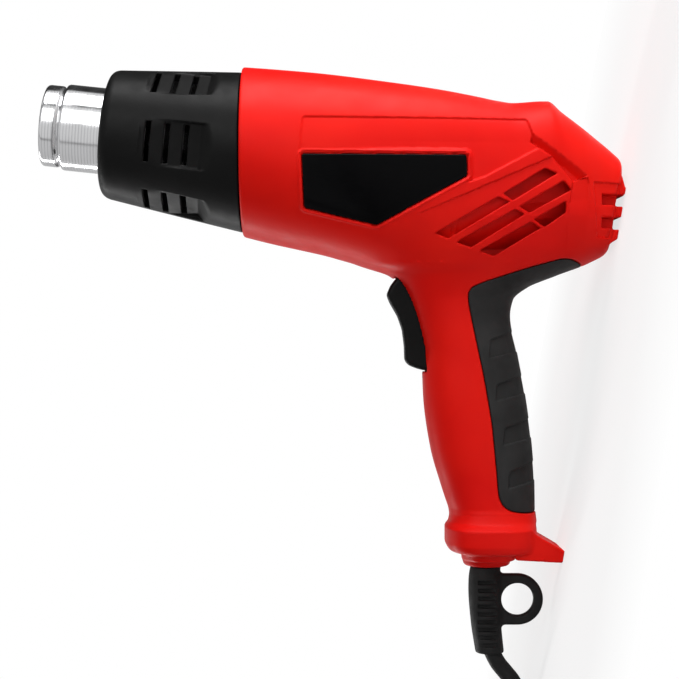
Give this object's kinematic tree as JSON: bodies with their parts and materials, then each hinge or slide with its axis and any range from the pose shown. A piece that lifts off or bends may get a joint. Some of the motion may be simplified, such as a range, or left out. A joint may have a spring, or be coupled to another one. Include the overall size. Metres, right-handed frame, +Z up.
{
  "type": "hot air tool",
  "caption": "Hand-held hot air tool standing on its tail feet: angled grip, rocker trigger, slotted barrel, steel nozzle, motor, fan and heater inside, and a coiled flex with a plug.",
  "frame": {"origin": "middle of the middle tail foot, on the surface the tool stands on", "axes": "+Z up, along the body towards the nozzle; -X towards the handle and the flex; -Y towards the side with the label plate"},
  "size_m": [0.3661, 0.1033, 0.2489],
  "materials": {
    "shell_red": "satin moulded polyamide",
    "shell_black": "satin moulded polyamide",
    "soft_grip": "matte overmoulded elastomer",
    "label_black": "glossy printed film, left bare",
    "nozzle_steel": "polished stainless tube with turning lines",
    "mica": "mica sheet",
    "zinc": "zinc-plated steel",
    "bronze": "brass and sintered bronze",
    "ferrite": "ferrite",
    "board": "phenolic board",
    "heater_wire": "nickel-chromium resistance wire",
    "flex_rubber": "matte rubber",
    "sleeving": "insulated wire"
  },
  "bodies": {
    "gun": {"housing_left": "shell_red", "housing_right": "shell_red", "intake_baffle_left": "shell_red", "intake_baffle_right": "shell_red", "front_barrel": "shell_black", "power_switch": "shell_black", "fan_duct": "shell_black", "motor_end_bell": "shell_black", "cord_clamp": "shell_black", "rectifier_diode_1": "shell_black", "rectifier_diode_2": "shell_black", "rectifier_diode_3": "shell_black", "rectifier_diode_4": "shell_black", "grip_pad_left": "soft_grip", "grip_pad_right": "soft_grip", "label_plate": "label_black", "nozzle_tube": "nozzle_steel", "mica_washer": "mica", "mica_sleeve": "mica", "heater_core": "mica", "housing_screw_1": "zinc", "housing_screw_2": "zinc", "housing_screw_3": "zinc", "housing_screw_4": "zinc", "housing_screw_5": "zinc", "housing_screw_6": "zinc", "flange_screw_1": "zinc", "flange_screw_2": "zinc", "flange_screw_3": "zinc", "clamp_screw_1": "zinc", "clamp_screw_2": "zinc", "motor_can": "zinc", "thermal_cutout": "zinc", "motor_bush_back": "bronze", "motor_bush_front": "bronze", "plug_blade_1": "bronze", "plug_blade_2": "bronze", "motor_magnet_left": "ferrite", "motor_magnet_right": "ferrite", "rectifier_board": "board", "heater_wire": "heater_wire", "strain_relief": "flex_rubber", "inner_lead": "flex_rubber", "cord_run": "flex_rubber", "cord_coil": "flex_rubber", "cord_tail": "flex_rubber", "plug_body": "flex_rubber", "wire_to_switch": "sleeving", "wire_live": "sleeving", "wire_neutral": "sleeving"},
    "trigger": {"trigger": "shell_black"},
    "fan_rotor": {"fan_impeller": "shell_black", "motor_armature": "zinc"}
  },
  "joints": [
    {"name": "trigger_rock", "type": "hinge", "parent": "gun", "child": "trigger", "pos_m": [-0.05989, 0, 0.07085], "axis": [0, 1, 0], "range_deg": [-7, 7]},
    {"name": "fan_spin", "type": "hinge", "parent": "gun", "child": "fan_rotor", "pos_m": [0.00752, 0, 0.07312], "axis": [-0.0628, 0, 0.998], "continuous": true}
  ]
}
